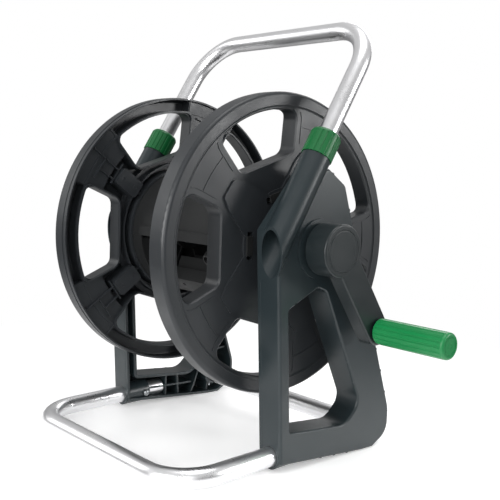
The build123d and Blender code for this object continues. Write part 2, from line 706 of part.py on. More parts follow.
def crank_grip():
    """Fluted grip that turns on the spindle, with a rounded plain band at each end."""
    section = Circle(GRIP_R)
    flutes = 16
    for i in range(flutes):
        section -= Rot(0, 0, i * 360 / flutes) * Pos(GRIP_R + 0.5, 0) * Circle(1.3)
    body = slab(Pos(GRIP_Y, GRIP_Z) * section, GRIP_START_X + GRIP_BAND, GRIP_END_X - GRIP_BAND)
    body += grip_band(GRIP_START_X, GRIP_BAND)
    body += grip_band(GRIP_END_X, -GRIP_BAND)
    body -= x_cylinder(SPINDLE_R + 0.05, GRIP_START_X - 1, GRIP_END_X, GRIP_Y, GRIP_Z)
    body -= x_cylinder(10.5, GRIP_END_X - 14, GRIP_END_X + 1, GRIP_Y, GRIP_Z)
    return body


def grip_band(x, depth):
    """Rounded disc at one end of the grip."""
    disc = x_cylinder(GRIP_R - 0.15, min(x, x + depth), max(x, x + depth), GRIP_Y, GRIP_Z)
    edge = min(disc.edges().filter_by(GeomType.CIRCLE), key=lambda e: abs(e.center().X - x))
    return fillet(edge, abs(depth) * 0.75)


def grip_plug():
    """Plug that closes the outer end of the grip."""
    return x_cylinder(10.5, GRIP_END_X - 5, GRIP_END_X - 0.4, GRIP_Y, GRIP_Z)


add("crank_arm", crank_arm())
add("crank_cap", crank_cap())
add("crank_screw", crank_screw())
add("grip_spindle", grip_spindle())
add("crank_grip", crank_grip())
add("grip_end_plug", grip_plug())

# ---- move to the footprint's middle and write -------------------------------
boxes = [part.bounding_box() for part in PARTS.values()]
LOW = Vector(*(min(getattr(b.min, c) for b in boxes) for c in "XYZ"))
HIGH = Vector(*(max(getattr(b.max, c) for b in boxes) for c in "XYZ"))
SHIFT = Vector(-(LOW.X + HIGH.X) / 2, -(LOW.Y + HIGH.Y) / 2, -LOW.Z)

if __name__ == "__main__":
    os.makedirs("parts", exist_ok=True)
    for name, part in PARTS.items():
        export_step(Pos(SHIFT.X, SHIFT.Y, SHIFT.Z) * part, f"parts/{name}.step")
    print("moved by", tuple(round(v, 3) for v in (SHIFT.X, SHIFT.Y, SHIFT.Z)))
    size = HIGH - LOW
    print("size", tuple(round(v, 1) for v in (size.X, size.Y, size.Z)), "in", len(PARTS), "parts")
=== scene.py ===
"""Looks of a free-standing garden hose reel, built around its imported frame."""

from __future__ import annotations

import json
import logging
import math
from dataclasses import dataclass
from enum import Enum
from typing import Any, Iterable

import bpy
from mathutils import Matrix, Vector

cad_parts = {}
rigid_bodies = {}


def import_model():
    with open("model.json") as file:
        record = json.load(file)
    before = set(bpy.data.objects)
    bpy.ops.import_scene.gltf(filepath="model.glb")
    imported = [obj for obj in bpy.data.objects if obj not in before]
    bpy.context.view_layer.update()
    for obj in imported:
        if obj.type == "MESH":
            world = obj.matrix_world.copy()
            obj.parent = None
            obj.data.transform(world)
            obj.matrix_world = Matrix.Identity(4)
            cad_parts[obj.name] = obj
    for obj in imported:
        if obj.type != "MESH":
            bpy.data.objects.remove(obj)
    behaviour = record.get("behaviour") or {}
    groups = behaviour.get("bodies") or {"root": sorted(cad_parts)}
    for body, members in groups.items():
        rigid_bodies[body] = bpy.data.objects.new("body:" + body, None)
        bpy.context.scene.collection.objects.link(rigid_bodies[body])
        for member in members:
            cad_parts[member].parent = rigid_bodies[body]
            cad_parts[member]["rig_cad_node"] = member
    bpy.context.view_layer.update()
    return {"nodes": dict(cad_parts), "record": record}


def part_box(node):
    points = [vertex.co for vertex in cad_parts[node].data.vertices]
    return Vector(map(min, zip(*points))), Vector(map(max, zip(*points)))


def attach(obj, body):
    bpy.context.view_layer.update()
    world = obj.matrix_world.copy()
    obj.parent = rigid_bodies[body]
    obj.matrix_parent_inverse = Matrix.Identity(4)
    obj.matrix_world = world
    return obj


LOG = logging.getLogger("hose_reel")
MM = 0.001


class Slot(Enum):
    """The record's material slots."""

    FRAME = "frame_plastic"
    REEL = "reel_plastic"
    CRANK = "crank_plastic"
    COLLAR = "green_plastic"
    GRIP = "grip_green_plastic"
    TUBE = "polished_aluminium"
    STEEL = "zinc_steel"
    ACETAL = "grey_plastic"
    RUBBER = "black_rubber"


def linear(code: str) -> tuple[float, float, float, float]:
    """Turn an sRGB hex colour into linear light.

    Args:
        code: Colour such as "#3a3f41".

    Returns:
        Red, green, blue and an alpha of one.
    """
    channels = [int(code[i:i + 2], 16) / 255 for i in (1, 3, 5)]
    light = [c / 12.92 if c <= 0.04045 else ((c + 0.055) / 1.055) ** 2.4 for c in channels]
    return (light[0], light[1], light[2], 1.0)


def add_node(
    tree: bpy.types.NodeTree,
    kind: str,
    settings: dict[str, Any] | None = None,
    links: dict[str, bpy.types.NodeSocket] | None = None,
) -> bpy.types.Node:
    """Add a shader node with its settings and incoming links.

    Args:
        tree: The material's node tree.
        kind: Node type, without the "ShaderNode" in front.
        settings: Values by input name, or by attribute where no input has that name.
        links: Outputs of earlier nodes by input name or input number.

    Returns:
        The new node.
    """
    node = tree.nodes.new("ShaderNode" + kind)
    attributes = {k: v for k, v in (settings or {}).items() if k not in node.inputs}
    for name, value in attributes.items():
        setattr(node, name, value)
    for name, value in (settings or {}).items():
        if name not in attributes:
            node.inputs[name].default_value = value
    for name, output in (links or {}).items():
        tree.links.new(output, node.inputs[int(name) if name.isdigit() else name])
    return node


def new_material(name: str) -> tuple[bpy.types.Material, bpy.types.NodeTree, bpy.types.Node]:
    """Start an empty node material.

    Args:
        name: Material name.

    Returns:
        The material, its tree and its output node.
    """
    material = bpy.data.materials.new(name)
    material.use_nodes = True
    material.node_tree.nodes.clear()
    output = add_node(material.node_tree, "OutputMaterial")
    return material, material.node_tree, output


@dataclass(frozen=True)
class MouldedPolypropylene:
    """Injection-moulded polypropylene with a spark-eroded mould texture.

    The fine grain breaks up highlights, so that the surface reads as satin; slow changes of tone are the
    flow of the melt and a little handling.
    """

    name: str
    colour: str
    tone: str
    roughness: float = 0.46
    grain_mm: float = 0.9      # the real grain is 0.2 mm; drawn coarser so that it shows
    grain_depth: float = 0.10

    def build(self) -> bpy.types.Material:
        """Make the material.

        Returns:
            The finished material.
        """
        material, tree, output = new_material(self.name)
        place = add_node(tree, "TexCoord").outputs["Object"]
        flow = add_node(tree, "TexNoise", {"Scale": 1 / (70 * MM), "Detail": 3.0, "Roughness": 0.55},
                        {"Vector": place})
        tones = add_node(tree, "Mix", {"data_type": "RGBA"}, {"0": flow.outputs["Fac"]})
        tones.inputs[6].default_value = linear(self.colour)
        tones.inputs[7].default_value = linear(self.tone)
        grain = add_node(tree, "TexNoise", {"Scale": 1 / (self.grain_mm * MM), "Detail": 2.0},
                         {"Vector": place})
        rubbed = add_node(tree, "TexNoise", {"Scale": 1 / (28 * MM), "Detail": 4.0, "Roughness": 0.6},
                          {"Vector": place})
        rough = add_node(tree, "MapRange", {"From Min": 0.3, "From Max": 0.7,
                                            "To Min": self.roughness - 0.05, "To Max": self.roughness + 0.06},
                         {"Value": rubbed.outputs["Fac"]})
        bump = add_node(tree, "Bump", {"Strength": self.grain_depth, "Distance": 0.15 * MM},
                        {"Height": grain.outputs["Fac"]})
        shader = add_node(tree, "BsdfPrincipled", {"IOR": 1.49},
                          {"Base Color": tones.outputs[2], "Roughness": rough.outputs["Result"],
                           "Normal": bump.outputs["Normal"]})
        tree.links.new(shader.outputs["BSDF"], output.inputs["Surface"])
        return material


@dataclass(frozen=True)
class PolishedAluminium:
    """Drawn aluminium tube, polished: bright, with faint lines left by drawing and polishing."""

    name: str
    colour: str = "#f2f2f3"
    roughness: float = 0.30
    line_mm: float = 1.6       # spacing of the drawing lines, drawn coarser than the real ones

    def build(self) -> bpy.types.Material:
        """Make the material.

        Returns:
            The finished material.
        """
        material, tree, output = new_material(self.name)
        place = add_node(tree, "TexCoord").outputs["Object"]
        lines = add_node(tree, "Mapping", {"Scale": (0.06, 1.0, 1.0)}, {"Vector": place})
        drawn = add_node(tree, "TexNoise", {"Scale": 1 / (self.line_mm * MM), "Detail": 2.0},
                         {"Vector": lines.outputs["Vector"]})
        cloud = add_node(tree, "TexNoise", {"Scale": 1 / (35 * MM), "Detail": 4.0}, {"Vector": place})
        both = add_node(tree, "Math", {"operation": "ADD"},
                        {"0": drawn.outputs["Fac"], "1": cloud.outputs["Fac"]})
        rough = add_node(tree, "MapRange", {"From Min": 0.7, "From Max": 1.3, "To Min": self.roughness - 0.04,
                                            "To Max": self.roughness + 0.08}, {"Value": both.outputs["Value"]})
        bump = add_node(tree, "Bump", {"Strength": 0.04, "Distance": 0.1 * MM},
                        {"Height": drawn.outputs["Fac"]})
        tint = add_node(tree, "Mix", {"data_type": "RGBA"}, {"0": cloud.outputs["Fac"]})
        tint.inputs[6].default_value = linear(self.colour)
        tint.inputs[7].default_value = linear("#e6e6e8")
        shader = add_node(tree, "BsdfPrincipled", {"Metallic": 1.0},
                          {"Base Color": tint.outputs[2], "Roughness": rough.outputs["Result"],
                           "Normal": bump.outputs["Normal"]})
        tree.links.new(shader.outputs["BSDF"], output.inputs["Surface"])
        return material


@dataclass(frozen=True)
class ZincPlatedSteel:
    """Zinc-plated steel: cool grey metal with the cloudy crystals of the plating."""

    name: str
    colour: str = "#b9bcbe"

    def build(self) -> bpy.types.Material:
        """Make the material.

        Returns:
            The finished material.
        """
        material, tree, output = new_material(self.name)
        place = add_node(tree, "TexCoord").outputs["Object"]
        crystals = add_node(tree, "TexVoronoi", {"Scale": 1 / (1.5 * MM)}, {"Vector": place})
        tint = add_node(tree, "Mix", {"data_type": "RGBA"}, {"0": crystals.outputs["Distance"]})
        tint.inputs[6].default_value = linear(self.colour)
        tint.inputs[7].default_value = linear("#8f9496")
        rough = add_node(tree, "MapRange", {"To Min": 0.26, "To Max": 0.42},
                         {"Value": crystals.outputs["Distance"]})
        shader = add_node(tree, "BsdfPrincipled", {"Metallic": 1.0},
                          {"Base Color": tint.outputs[2], "Roughness": rough.outputs["Result"]})
        tree.links.new(shader.outputs["BSDF"], output.inputs["Surface"])
        return material


@dataclass(frozen=True)
class MouldedRubber:
    """Moulded nitrile rubber: dark, dull, with a soft bloom."""

    name: str
    colour: str = "#151617"

    def build(self) -> bpy.types.Material:
        """Make the material.

        Returns:
            The finished material.
        """
        material, tree, output = new_material(self.name)
        place = add_node(tree, "TexCoord").outputs["Object"]
        bloom = add_node(tree, "TexNoise", {"Scale": 1 / (3 * MM), "Detail": 3.0}, {"Vector": place})
        tint = add_node(tree, "Mix", {"data_type": "RGBA"}, {"0": bloom.outputs["Fac"]})
        tint.inputs[6].default_value = linear(self.colour)
        tint.inputs[7].default_value = linear("#232425")
        shader = add_node(tree, "BsdfPrincipled", {"Roughness": 0.65, "IOR": 1.52},
                          {"Base Color": tint.outputs[2]})
        tree.links.new(shader.outputs["BSDF"], output.inputs["Surface"])
        return material


Finish = MouldedPolypropylene | PolishedAluminium | ZincPlatedSteel | MouldedRubber

FINISHES: dict[Slot, Finish] = {
    Slot.FRAME: MouldedPolypropylene("anthracite_frame_moulding", "#1f272a", "#242d30", roughness=0.34),
    Slot.REEL: MouldedPolypropylene("anthracite_reel_moulding", "#212427", "#26292c", roughness=0.40),
    Slot.CRANK: MouldedPolypropylene("anthracite_crank_moulding", "#161d1f", "#1a2123", roughness=0.36),
    Slot.COLLAR: MouldedPolypropylene("green_collar_moulding", "#04582a", "#065f2e", roughness=0.4),
    Slot.GRIP: MouldedPolypropylene("green_grip_moulding", "#0c733c", "#0f7b42", roughness=0.36),
    Slot.TUBE: PolishedAluminium("polished_tube_aluminium"),
    Slot.STEEL: ZincPlatedSteel("zinc_plated_screw_steel"),
    Slot.ACETAL: MouldedPolypropylene("grey_acetal", "#2f3336", "#34383b", roughness=0.36, grain_depth=0.04),
    Slot.RUBBER: MouldedRubber("nitrile_seal_rubber"),
}

# The drum is the same plastic as the reel, and its mould is left rougher. Its much darker colour is painted
# shade, standing in for the shadow that falls into the drum between the flanges.
DRUM_PAINTED_SHADE_FINISH = MouldedPolypropylene("anthracite_drum_painted_shade", "#060809", "#090b0c", roughness=0.66,
                                   grain_depth=0.16)
DRUM_NODES = ("drum_upper_shell", "drum_lower_shell", "left_drum_bulkhead", "right_drum_bulkhead",
              "water_pipe", "hose_nipple")


def dress(objects: Iterable[bpy.types.Object], material: bpy.types.Material, smooth_deg: float) -> None:
    """Give objects one material and shade their round faces smooth.

    Args:
        objects: Mesh objects.
        material: The finish.
        smooth_deg: Edges sharper than this angle stay sharp.
    """
    for piece in objects:
        piece.data.materials.clear()
        piece.data.materials.append(material)
        if "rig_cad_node" not in piece:
            piece.data.shade_smooth()
            piece.data.set_sharp_from_angle(angle=math.radians(smooth_deg))


@dataclass
class PackedParts:
    """The parts that the frame brings with it, each dressed in its slot's finish."""

    record: dict[str, Any]
    nodes: dict[str, bpy.types.Object]

    def dress(self, finishes: dict[str, bpy.types.Material]) -> int:
        """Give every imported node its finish.

        Args:
            finishes: Material by slot name.

        Returns:
            The number of nodes dressed.
        """
        for row in self.record["subparts"]:
            dress([self.nodes[row["node"]]], finishes[row["material_slot"]], 35)
        # The drum nodes, with the water pipe and hose nipple, get the drum's darker copy, whose colour is
        # painted shade.
        drum = DRUM_PAINTED_SHADE_FINISH.build()
        dress([self.nodes[name] for name in DRUM_NODES], drum, 35)
        return len(self.nodes)


Point = tuple[float, float]


@dataclass
class MeshSketch:
    """Vertices and faces gathered for one piece."""

    vertices: list[Vector]
    faces: list[tuple[int, ...]]

    def lathe(self, profile: list[Point], centre: Vector, axis: Vector, segments: int = 64,
              closed: bool = True) -> None:
        """Turn a profile about an axis.

        Args:
            profile: Pairs of distance along the axis and radius, in metres.
            centre: Where the axis distance is zero.
            axis: Direction of the axis.
            segments: Faces around.
            closed: Join the last profile point to the first, for a ring.
        """
        axis = axis.normalized()
        side = axis.orthogonal().normalized()
        up = axis.cross(side)
        first = len(self.vertices)
        count = len(profile)
        for i in range(segments):
            angle = 2 * math.pi * i / segments
            out = side * math.cos(angle) + up * math.sin(angle)
            self.vertices += [centre + axis * along + out * radius for along, radius in profile]
        steps = count if closed else count - 1
        for i in range(segments):
            near, far = first + i * count, first + (i + 1) % segments * count
            for k in range(steps):
                nxt = (k + 1) % count
                self.faces.append((near + k, near + nxt, far + nxt, far + k))

    def bead(self, path: list[Vector], radius: float, up: Vector, sides: int = 8) -> None:
        """Lay a thin round bead along a path, closed at both ends.

        Args:
            path: Points along the bead.
            radius: Half the bead's thickness.
            up: Direction that is never along the path.
            sides: Faces around the bead.
        """
        first = len(self.vertices)
        for i, point in enumerate(path):
            ahead = (path[min(i + 1, len(path) - 1)] - path[max(i - 1, 0)]).normalized()
            across = ahead.cross(up).normalized()
            lift = across.cross(ahead)
            for k in range(sides):
                angle = 2 * math.pi * k / sides
                self.vertices.append(point + (across * math.cos(angle) + lift * math.sin(angle)) * radius)
        for i in range(len(path) - 1):
            near, far = first + i * sides, first + (i + 1) * sides
            for k in range(sides):
                nxt = (k + 1) % sides
                self.faces.append((near + k, near + nxt, far + nxt, far + k))
        last = first + (len(path) - 1) * sides
        self.faces.append(tuple(first + k for k in range(sides)))
        self.faces.append(tuple(last + k for k in reversed(range(sides))))

    def wall(self, outline: list[Point], base: Vector, direction: int, turn: float, thickness: float,
             height: float, loop: bool = True) -> None:
        """Stand a thin wall along an outline drawn square to X.

        Args:
            outline: Points along the middle of the wall, as y and z.
            base: Point at the wall's foot where y and z are zero.
            direction: 1 to rise towards +X, -1 towards -X.
            turn: Angle by which the outline is turned about X.
            thickness: Wall thickness.
            height: Wall height.
            loop: Join the ends.
        """
        first = len(self.vertices)
        count = len(outline)
        for i, (y, z) in enumerate(outline):
            before = outline[i - 1] if loop or i > 0 else outline[i]
            after = outline[(i + 1) % count] if loop or i < count - 1 else outline[i]
            along = Vector((after[0] - before[0], after[1] - before[1])).normalized()
            across = Vector((-along.y, along.x)) * thickness / 2
            for x, sign in ((0, 1), (height, 1), (height, -1), (0, -1)):
                py, pz = y + across.x * sign, z + across.y * sign
                self.vertices.append(base + Vector((
                    direction * x, py * math.cos(turn) - pz * math.sin(turn),
                    py * math.sin(turn) + pz * math.cos(turn))))
        for i in range(count if loop else count - 1):
            near, far = first + i * 4, first + (i + 1) % count * 4
            for k in range(4):
                nxt = (k + 1) % 4
                self.faces.append((near + k, near + nxt, far + nxt, far + k))
        if not loop:
            last = first + (count - 1) * 4
            self.faces += [(first + 3, first + 2, first + 1, first), (last, last + 1, last + 2, last + 3)]

    def screw_head(self, centre: Vector, axis: Vector, radius: float, height: float) -> None:
        """Build a pan head with a cross recess.

        Args:
            centre: Middle of the seat.
            axis: Outwards, along the screw.
            radius: Head radius.
            height: Head height.
        """
        axis = axis.normalized()
        side = axis.orthogonal().normalized()
        up = axis.cross(side)
        rings, segments = 9, 48
        first = len(self.vertices)
        for i in range(rings + 1):
            share = i / rings
            for k in range(segments):
                angle = 2 * math.pi * k / segments
                r = radius * share
                dome = height * (1 - 0.9 * share ** 3.2)
                arm = min(abs(math.sin(angle)), abs(math.cos(angle))) * r
                in_recess = share < 0.62 and arm < radius * 0.13
                if in_recess:
                    dome -= height * 0.6 * (1 - share)
                self.vertices.append(centre + axis * dome + (side * math.cos(angle) + up * math.sin(angle)) * r)
        for i in range(rings):
            for k in range(segments):
                near, far = first + i * segments, first + (i + 1) * segments
                nxt = (k + 1) % segments
                self.faces.append((near + k, far + k, far + nxt, near + nxt))
        edge = first + rings * segments
        self.faces.append(tuple(edge + k for k in reversed(range(segments))))

    def finish(self, name: str, material: bpy.types.Material, body: str, slot: Slot) -> bpy.types.Object:
        """Turn the sketch into an object that rides on a body.

        Args:
            name: Piece name.
            material: Its finish.
            body: The body that carries it.
            slot: The piece's material slot; not used.

        Returns:
            The finished object.
        """
        mesh = bpy.data.meshes.new(name)
        mesh.from_pydata([tuple(v) for v in self.vertices], [], self.faces)
        mesh.validate()
        piece = bpy.data.objects.new(name, mesh)
        bpy.context.scene.collection.objects.link(piece)
        dress([piece], material, 40)
        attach(piece, body)
        LOG.info("built %s", name)
        return piece


def ring_section(inner: float, outer: float, start: float, end: float, bevel: float) -> list[Point]:
    """Rounded rectangle to turn into a ring.

    Args:
        inner: Inner radius.
        outer: Outer radius.
        start: First distance along the axis.
        end: Last distance along the axis.
        bevel: Corner size.

    Returns:
        The profile's points, going round once.
    """
    return [(start + bevel, inner), (start, inner + bevel), (start, outer - bevel), (start + bevel, outer),
            (end - bevel, outer), (end, outer - bevel), (end, inner + bevel), (end - bevel, inner)]


@dataclass
class SideFrames:
    """The two moulded side frames: ejector marks inside the shells and the mould's split line outside."""

    axle: Vector
    plate_x: float = 163.4 * MM      # inner side of the outer plate, from the middle of the reel
    mark_radius: float = 3.4 * MM
    bead_radius: float = 0.28 * MM
    line_x: float = 137.5 * MM       # where the two halves of the mould met
    line_from: float = 12.0 * MM     # height of the line's ends
    line_to: float = 212.0 * MM
    foot_y: float = -44.5 * MM       # front of the post at the floor, from the axle
    lean: float = -0.075             # and how far it leans forward per unit of height
    marks: tuple[Point, ...] = ((96.0, -165.0), (92.0, -205.0), (40.0, -78.0), (62.0, -120.0), (-36.0, -20.0),
                                (18.0, 48.0), (-8.0, -226.0), (40.0, -228.0))

    def build_ejector_marks(self, finish: bpy.types.Material) -> None:
        """Set the round marks that the mould's ejector pins leave inside each shell.

        Args:
            finish: The frame's finish.
        """
        for side, name in ((1, "right"), (-1, "left")):
            sketch = MeshSketch([], [])
            for y, z in self.marks:
                place = self.axle + Vector((side * self.plate_x, y * MM, z * MM))
                sketch.lathe(ring_section(self.mark_radius * 0.72, self.mark_radius, -0.3 * MM, 0.3 * MM,
                                          0.08 * MM), place, Vector((-side, 0, 0)), 32)
            sketch.finish(f"{name}_frame_ejector_marks", finish, "frame", Slot.FRAME)

    def build_split_lines(self, finish: bpy.types.Material) -> None:
        """Lay the fine split line of the mould up the front post of each frame.

        Args:
            finish: The frame's finish.
        """
        for side, name in ((1, "right"), (-1, "left")):
            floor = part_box(f"{name}_side_frame")[0].z
            x = self.axle.x + side * self.line_x
            path = []
            steps = 24
            for i in range(steps + 1):
                z = self.line_from + (self.line_to - self.line_from) * i / steps
                path.append(Vector((x, self.axle.y + self.foot_y + self.lean * z + 0.05 * MM, floor + z)))
            sketch = MeshSketch([], [])
            sketch.bead(path, self.bead_radius, Vector((1, 0, 0)))
            sketch.finish(f"{name}_frame_split_line", finish, "frame", Slot.FRAME)


@dataclass
class Flanges:
    """The reel's two flanges: a fine bead round each rim and the marks of the ejector pins inside."""

    axle: Vector
    rim_radius: float = 160.6 * MM
    bead_height: float = 0.45 * MM
    face_x: float = 113.0 * MM
    mark_radius: float = 3.0 * MM
    spokes: int = 5
    phase_deg: float = 217.0
    opening_half_deg: float = 23.0
    opening_chord: float = 98.0 * MM
    opening_reach: float = 156.0 * MM
    wall_x: float = 92.0 * MM        # foot of the thin walls, at the webs
    lip_inner: float = 172.9 * MM
    lip_outer: float = 175.4 * MM
    lip_height: float = 7.0 * MM
    opening_wall: Point = (1.9 * MM, 3.4 * MM)    # thickness and height
    web_rib: Point = (1.6 * MM, 2.8 * MM)
    web_ribs: tuple[tuple[Point, Point], ...] = (
        ((126.0, -15.0), (126.0, 15.0)), ((126.0, -5.0), (171.0, -6.0)),
        ((150.0, -6.0), (150.0, 24.0)), ((126.0, 9.0), (150.0, 10.0)))
    block_x: float = 85.0 * MM
    block_radius: float = 106.0 * MM

    def build_rim_beads(self, finish: bpy.types.Material) -> None:
        """Lay the raised bead along the inner edge of each rim.

        Args:
            finish: The reel's finish.
        """
        for side, name in ((1, "right"), (-1, "left")):
            sketch = MeshSketch([], [])
            base = self.axle + Vector((side * self.face_x, 0, 0))
            sketch.lathe(ring_section(self.rim_radius, self.rim_radius + 1.1 * MM, -0.4 * MM, self.bead_height,
                                      0.2 * MM), base, Vector((side, 0, 0)), 160)
            sketch.finish(f"{name}_flange_rim_bead", finish, "reel", Slot.REEL)

    def opening_outline(self, steps: int = 10) -> list[Point]:
        """Outline of one opening's wall, drawn with the middle of the opening along +Y.

        Args:
            steps: Points on each rounded corner.

        Returns:
            Points going round once, in metres.
        """
        half = math.radians(self.opening_half_deg)
        low, high, bend = self.opening_chord - 1.4 * MM, self.opening_reach + 1.4 * MM, 11 * MM
        side = 1.5 * MM
        corners = [(low, -low * math.tan(half) - side), (high * math.cos(half), -high * math.sin(half) - side),
                   (high * math.cos(half), high * math.sin(half) + side), (low, low * math.tan(half) + side)]
        points: list[Point] = []
        for i, corner in enumerate(corners):
            before, after = Vector(corners[i - 1]), Vector(corners[(i + 1) % 4])
            here = Vector(corner)
            enter = here + (before - here).normalized() * bend
            leave = here + (after - here).normalized() * bend
            if i == 2:
                spread = math.atan2(enter.y, enter.x)
                for k in range(1, 12):
                    angle = -spread + 2 * spread * k / 12
                    points.append((high * math.cos(angle), high * math.sin(angle)))
            if i == 1:
                leave = Vector((high * math.cos(half * 0.83), -high * math.sin(half * 0.83)))
            if i == 2:
                enter = Vector((high * math.cos(half * 0.83), high * math.sin(half * 0.83)))
            for k in range(steps + 1):
                t = k / steps
                spot = enter * (1 - t) ** 2 + here * 2 * t * (1 - t) + leave * t ** 2
                points.append((spot.x, spot.y))
        return points

    @staticmethod
    def rib_path(start: Point, end: Point, steps: int = 6) -> list[Point]:
        """Even points along a straight rib.

        Args:
            start: One end, in millimetres.
            end: The other end.
            steps: Number of stretches.

        Returns:
            The points, in metres.
        """
        shares = [k / steps for k in range(steps + 1)]
        return [((start[0] + (end[0] - start[0]) * share) * MM, (start[1] + (end[1] - start[1]) * share) * MM)
                for share in shares]

    def build_inner_walls(self, finish: bpy.types.Material) -> None:
        """Raise the walls round the openings and the outer lip above the webs, on the drum side.

        Args:
            finish: The reel's finish.
        """
        outline = self.opening_outline()
        lip = ring_section(self.lip_inner, self.lip_outer, 0.0, self.lip_height, 0.4 * MM)
        for side, name in ((1, "right"), (-1, "left")):
            sketch = MeshSketch([], [])
            foot = self.axle + Vector((side * self.wall_x, 0, 0))
            inwards = Vector((-side, 0, 0))
            sketch.lathe(lip, foot - inwards * 3 * MM, inwards, 160)
            for i in range(self.spokes):
                turn = math.radians(self.phase_deg - 36 + 72 * i)
                sketch.wall(outline, foot, -side, turn, *self.opening_wall)
            for i in range(self.spokes):
                turn = math.radians(self.phase_deg + 72 * i)
                for start, end in self.web_ribs:
                    sketch.wall(self.rib_path(start, end), foot, -side, turn, *self.web_rib, loop=False)
            sketch.finish(f"{name}_flange_inner_walls", finish, "reel", Slot.REEL)

    def build_block_marks(self, finish: bpy.types.Material) -> None:
        """Set two ejector marks on each spoke's block, towards the drum.

        Args:
            finish: The reel's finish.
        """
        for side, name in ((1, "right"), (-1, "left")):
            sketch = MeshSketch([], [])
            for i in range(self.spokes):
                angle = math.radians(self.phase_deg + 72 * i)
                for reach in (-10 * MM, 10 * MM):
                    r = self.block_radius + reach
                    place = self.axle + Vector((side * self.block_x, r * math.cos(angle), r * math.sin(angle)))
                    sketch.lathe(ring_section(self.mark_radius * 0.6, self.mark_radius, -0.3 * MM, 0.35 * MM,
                                              0.1 * MM), place, Vector((-side, 0, 0)), 28)
            sketch.finish(f"{name}_flange_block_marks", finish, "reel", Slot.REEL)


@dataclass
class Crank:
    """The crank: the raised lip round its cover disc and the rib on its grip's end plug."""

    axle: Vector
    face_x: float = 203.5 * MM
    lip_radius: float = 23.6 * MM
    ring_radius: float = 19.2 * MM   # fine ring on the disc
    plug_rings: Point = (3.0 * MM, 8.6 * MM)
    grip_end_x: float = 300.1 * MM
    grip_reach: float = 115.0 * MM
    rest_deg: float = -54.5

    def build_cap_lip(self, finish: bpy.types.Material) -> None:
        """Turn the thin lip round the cover disc.

        Args:
            finish: The crank's finish.
        """
        sketch = MeshSketch([], [])
        place = self.axle + Vector((self.face_x, 0, 0))
        sketch.lathe(ring_section(self.lip_radius, self.lip_radius + 0.9 * MM, -0.4 * MM, 0.3 * MM, 0.14 * MM),
                     place, Vector((1, 0, 0)), 96)
        sketch.lathe(ring_section(self.ring_radius, self.ring_radius + 0.5 * MM, 0.2 * MM, 0.72 * MM, 0.1 * MM),
                     place, Vector((1, 0, 0)), 96)
        sketch.finish("crank_cap_lip", finish, "reel", Slot.CRANK)

    def build_grip_rib(self, finish: bpy.types.Material) -> None:
        """Turn the small rings on the grip's end plug.

        Args:
            finish: The grip's finish.
        """
        angle = math.radians(self.rest_deg)
        place = self.axle + Vector((self.grip_end_x, self.grip_reach * math.cos(angle),
                                    self.grip_reach * math.sin(angle)))
        sketch = MeshSketch([], [])
        for radius in self.plug_rings:
            sketch.lathe(ring_section(radius, radius + 0.8 * MM, -0.3 * MM, 0.3 * MM, 0.12 * MM),
                         place, Vector((1, 0, 0)), 48)
        sketch.finish("grip_plug_rings", finish, "grip", Slot.GRIP)


@dataclass
class TubeFittings:
    """Small parts on the tubes: wiper rings above the collars and the heads of the base tube's screws."""

    axle: Vector
    leg_x: float = 155.0 * MM
    tilt_deg: float = 30.6
    leg_top: tuple[float, float] = (0.3, 101.0)    # y and z from the axle, in millimetres
    collar_length: float = 32.0 * MM
    tube_radius: float = 11.0 * MM
    screw_x: float = 133.0 * MM
    head_radius: float = 4.4 * MM
    head_height: float = 1.9 * MM

    def build_wipers(self, finish: bpy.types.Material) -> None:
        """Turn the soft ring that closes the gap between each collar and its leg.

        Args:
            finish: The rubber.
        """
        tilt = math.radians(self.tilt_deg)
        leg = Vector((0, math.sin(tilt), math.cos(tilt)))
        for side, name in ((1, "right"), (-1, "left")):
            base = self.axle + Vector((side * self.leg_x, self.leg_top[0] * MM, self.leg_top[1] * MM))
            sketch = MeshSketch([], [])
            sketch.lathe(ring_section(self.tube_radius + 0.15 * MM, self.tube_radius + 1.6 * MM, -1.0 * MM,
                                      0.5 * MM, 0.25 * MM), base + leg * self.collar_length, leg, 48)
            sketch.finish(f"{name}_collar_wiper", finish, f"{name}_collar", Slot.RUBBER)

    def build_screw_heads(self, finish: bpy.types.Material) -> None:
        """Build the pan heads that hold the floor tube, with their cross recess.

        Args:
            finish: The plated steel.
        """
        sketch = MeshSketch([], [])
        low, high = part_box("base_tube_screws")
        z = (low.z + high.z) / 2
        y = (low.y + high.y) / 2
        for side in (1, -1):
            seat = self.axle.x + side * self.screw_x
            sketch.screw_head(Vector((seat, y, z)), Vector((-side, 0, 0)), self.head_radius, self.head_height)
        sketch.finish("base_tube_screw_heads", finish, "frame", Slot.STEEL)


@dataclass
class WaterInlet:
    """The water inlet: the seal on its tap connector."""

    axle: Vector
    elbow_x: float = -189.0 * MM
    turn_deg: float = 160.0          # from the front, over the top
    reach: float = 50.5 * MM         # from the axle to the seal
    neck_radius: float = 8.8 * MM
    cord_radius: float = 0.9 * MM

    def build_seal(self, finish: bpy.types.Material) -> None:
        """Turn the seal that sits in front of the connector's shoulder.

        Args:
            finish: The rubber.
        """
        angle = math.radians(self.turn_deg)
        out = Vector((0, -math.cos(angle), -math.sin(angle)))
        place = self.axle + Vector((self.elbow_x, 0, 0)) + out * self.reach
        sketch = MeshSketch([], [])
        middle = self.neck_radius + 0.5 * MM
        section = [(self.cord_radius * math.cos(t), middle + self.cord_radius * math.sin(t))
                   for t in (2 * math.pi * k / 12 for k in range(12))]
        sketch.lathe(section, place, out, 48)
        sketch.finish("tap_connector_seal", finish, "inlet", Slot.RUBBER)


@dataclass(frozen=True)
class Softbox:
    """One rectangular soft light that looks at the axle."""

    name: str
    place: tuple[float, float, float]    # metres
    size: Point                          # metres
    power: float                         # watts


